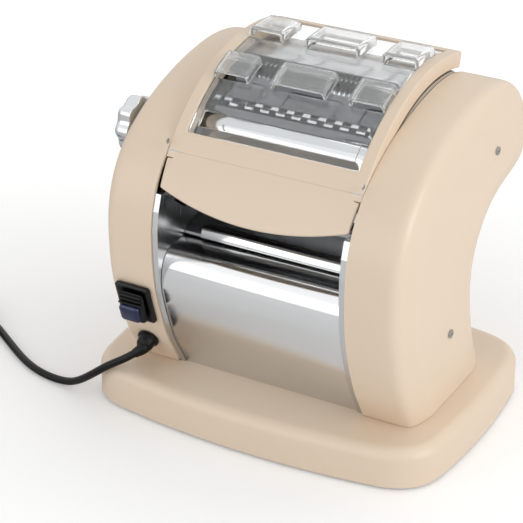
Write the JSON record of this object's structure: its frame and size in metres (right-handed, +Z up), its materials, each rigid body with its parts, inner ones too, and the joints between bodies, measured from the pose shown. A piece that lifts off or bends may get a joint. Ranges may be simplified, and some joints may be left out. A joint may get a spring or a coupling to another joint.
{
  "type": "electric pasta maker",
  "caption": "Countertop pasta maker: curved moulded housings on a tray base, rollers under a hinged clear guard, steel front cover, flap, side knob, switch and mains cord.",
  "frame": {"origin": "on the table, under the middle of the machine's whole width and depth, the free cord left out", "axes": "+Z up, +X to the machine's right, +Y to the rear, the pasta outlet faces -Y"},
  "size_m": [0.5248, 0.2759, 0.2733],
  "materials": {
    "cream_plastic": "warm cream moulded plastic",
    "polished_steel": "polished sheet and turned steel",
    "satin_steel": "satin steel",
    "clear_plastic": "clear moulded plastic",
    "black_plastic": "black plastic",
    "blue_plastic": "dark blue translucent plastic",
    "gear_nylon": "natural nylon",
    "foot_rubber": "dark rubber"
  },
  "bodies": {
    "machine": {"base_tray": "cream_plastic", "base_plate": "satin_steel", "foot_front_left": "foot_rubber", "foot_front_right": "foot_rubber", "foot_rear_left": "foot_rubber", "foot_rear_right": "foot_rubber", "left_housing": "cream_plastic", "right_housing": "cream_plastic", "left_side_plate": "polished_steel", "right_side_plate": "polished_steel", "front_cover": "polished_steel", "rear_cover": "cream_plastic", "outlet_chute": "satin_steel", "feed_plate": "polished_steel", "rear_tray": "satin_steel", "pivot_pin_left": "satin_steel", "pivot_pin_right": "satin_steel", "spindle_last": "satin_steel", "spindle_first": "satin_steel", "motor": "satin_steel", "wide_comb": "satin_steel", "fine_comb": "satin_steel", "switch_bezel": "black_plastic", "cable_gland": "black_plastic", "housing_screw_upper": "satin_steel", "housing_screw_lower": "satin_steel", "cord_run": "black_plastic", "cord_coil": "black_plastic", "mains_plug": "black_plastic"},
    "cover": {"cover_frame": "cream_plastic", "cover_guard": "clear_plastic"},
    "flap": {"front_flap": "cream_plastic"},
    "fixed_roller": {"smooth_roller_fixed": "polished_steel", "fixed_roller_gear": "gear_nylon"},
    "roller_carrier": {"bearing_block_left": "satin_steel", "bearing_block_right": "satin_steel", "block_tie_rod": "satin_steel"},
    "moving_roller": {"smooth_roller_moving": "polished_steel", "moving_roller_gear": "gear_nylon"},
    "wide_front": {"wide_cutter_front": "polished_steel", "wide_drive_gear": "gear_nylon", "wide_front_gear": "gear_nylon"},
    "wide_rear": {"wide_cutter_rear": "polished_steel", "wide_rear_gear": "gear_nylon", "link_gear_wide": "gear_nylon"},
    "fine_front": {"fine_cutter_front": "polished_steel", "link_gear_fine": "gear_nylon", "fine_front_gear": "gear_nylon"},
    "fine_rear": {"fine_cutter_rear": "polished_steel", "fine_rear_gear": "gear_nylon"},
    "last_gear": {"reduction_gear_last": "gear_nylon"},
    "first_gear": {"reduction_gear_first": "gear_nylon"},
    "motor_rotor": {"motor_pinion": "satin_steel"},
    "regulator": {"thickness_knob": "polished_steel"},
    "rocker": {"switch_rocker": "blue_plastic"}
  },
  "joints": [
    {"name": "cover_hinge", "type": "hinge", "parent": "machine", "child": "cover", "pos_m": [0, -0.07748, 0.20937], "axis": [1, 0, 0], "range_deg": [0, 62]},
    {"name": "flap_hinge", "type": "hinge", "parent": "machine", "child": "flap", "pos_m": [0, -0.07748, 0.20937], "axis": [-1, 0, 0], "range_deg": [0, 50]},
    {"name": "fixed_roller_spin", "type": "hinge", "parent": "machine", "child": "fixed_roller", "pos_m": [0, -0.03514, 0.21298], "axis": [1, 0, 0], "continuous": true},
    {"name": "roller_gap_slide", "type": "slide", "parent": "machine", "child": "roller_carrier", "axis": [0, -0.6157, -0.788], "range_m": [0, 0.0022]},
    {"name": "moving_roller_spin", "type": "hinge", "parent": "roller_carrier", "child": "moving_roller", "pos_m": [0, -0.05398, 0.18887], "axis": [1, 0, 0], "continuous": true},
    {"name": "wide_front_spin", "type": "hinge", "parent": "machine", "child": "wide_front", "pos_m": [0, -0.00514, 0.21298], "axis": [1, 0, 0], "continuous": true},
    {"name": "wide_rear_spin", "type": "hinge", "parent": "machine", "child": "wide_rear", "pos_m": [0, 0.02046, 0.2175], "axis": [1, 0, 0], "continuous": true},
    {"name": "fine_front_spin", "type": "hinge", "parent": "machine", "child": "fine_front", "pos_m": [0, 0.04836, 0.21994], "axis": [1, 0, 0], "continuous": true},
    {"name": "fine_rear_spin", "type": "hinge", "parent": "machine", "child": "fine_rear", "pos_m": [0, 0.07379, 0.21453], "axis": [1, 0, 0], "continuous": true},
    {"name": "last_gear_spin", "type": "hinge", "parent": "machine", "child": "last_gear", "pos_m": [0, -0.02497, 0.19014], "axis": [1, 0, 0], "continuous": true},
    {"name": "first_gear_spin", "type": "hinge", "parent": "machine", "child": "first_gear", "pos_m": [0, -0.02615, 0.14516], "axis": [1, 0, 0], "continuous": true},
    {"name": "motor_spin", "type": "hinge", "parent": "machine", "child": "motor_rotor", "pos_m": [0, -0.02733, 0.10017], "axis": [1, 0, 0], "continuous": true},
    {"name": "regulator_turn", "type": "hinge", "parent": "machine", "child": "regulator", "pos_m": [-0.129, -0.04105, 0.20542], "axis": [1, 0, 0], "range_deg": [0, 180]},
    {"name": "rocker_tilt", "type": "hinge", "parent": "machine", "child": "rocker", "pos_m": [-0.096, -0.09964, 0.09148], "axis": [1, 0, 0], "range_deg": [-8, 8]}
  ],
  "couplings": [
    {"joint": "moving_roller_spin", "follows": "fixed_roller_spin", "ratio": -1},
    {"joint": "wide_front_spin", "follows": "fixed_roller_spin", "ratio": -1},
    {"joint": "wide_rear_spin", "follows": "fixed_roller_spin", "ratio": 1},
    {"joint": "fine_front_spin", "follows": "fixed_roller_spin", "ratio": -1},
    {"joint": "fine_rear_spin", "follows": "fixed_roller_spin", "ratio": 1},
    {"joint": "last_gear_spin", "follows": "fixed_roller_spin", "ratio": -1.5},
    {"joint": "first_gear_spin", "follows": "fixed_roller_spin", "ratio": 6},
    {"joint": "motor_spin", "follows": "fixed_roller_spin", "ratio": -24},
    {"joint": "regulator_turn", "follows": "roller_gap_slide", "rad_per_m": 1428}
  ]
}
